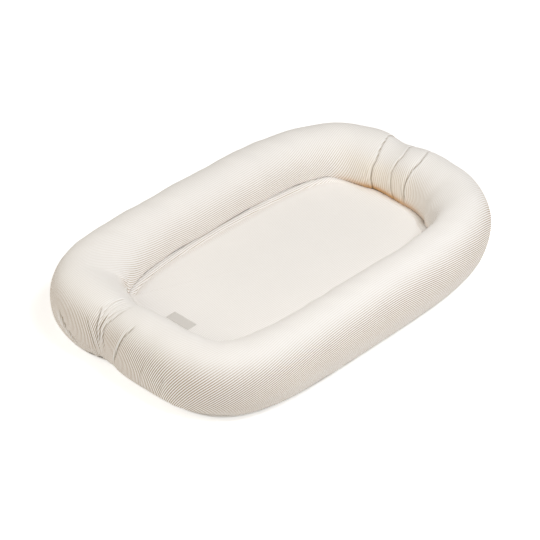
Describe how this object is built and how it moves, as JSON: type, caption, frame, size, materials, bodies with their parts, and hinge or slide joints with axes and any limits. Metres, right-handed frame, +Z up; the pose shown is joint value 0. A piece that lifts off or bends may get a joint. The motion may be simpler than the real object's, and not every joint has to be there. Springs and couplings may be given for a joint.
{
  "type": "infant lounger",
  "caption": "Oval baby nest: a soft striped cotton roll with gathers at its short ends round a thin crowned mattress, with a zip in its base.",
  "frame": {"origin": "on the floor under the middle of the lounger", "axes": "+X towards the head end, +Y towards the left side, +Z up"},
  "size_m": [0.8593, 0.572, 0.133],
  "materials": {
    "striped_cotton": "matt woven cotton, fine tan and ecru stripes 4 mm apart along the lounger",
    "plain_cotton": "matt plain woven cotton",
    "fibre_filling": "loose polyester fibre",
    "mattress_pad": "soft pad",
    "label_cotton": "grey cotton tape, bare",
    "zip_tape": "woven zip tape",
    "zip_plastic": "moulded",
    "zip_metal": "satin nickel"
  },
  "bodies": {
    "lounger": {"roll_cover": "striped_cotton", "lying_panel": "striped_cotton", "channel_lining": "plain_cotton", "base_panel_left": "plain_cotton", "base_panel_right": "plain_cotton", "roll_filling_left": "fibre_filling", "roll_filling_right": "fibre_filling", "mattress": "mattress_pad", "label": "label_cotton", "zip_tape_left": "zip_tape", "zip_tape_right": "zip_tape", "zip_teeth_left": "zip_plastic", "zip_teeth_right": "zip_plastic", "zip_top_stop_left": "zip_plastic", "zip_top_stop_right": "zip_plastic", "zip_bottom_stop": "zip_plastic"},
    "slider": {"zip_slider": "zip_metal"},
    "pull": {"zip_pull": "zip_metal"}
  },
  "joints": [
    {"name": "zip_slide", "type": "slide", "parent": "lounger", "child": "slider", "axis": [-1, 0, 0], "range_m": [0, 0.3749], "deforming": ["zip_teeth_left", "zip_teeth_right"]},
    {"name": "pull_hinge", "type": "hinge", "parent": "slider", "child": "pull", "pos_m": [0.18965, 0, 0.0036], "axis": [0, -1, 0], "range_deg": [0, 175]}
  ]
}
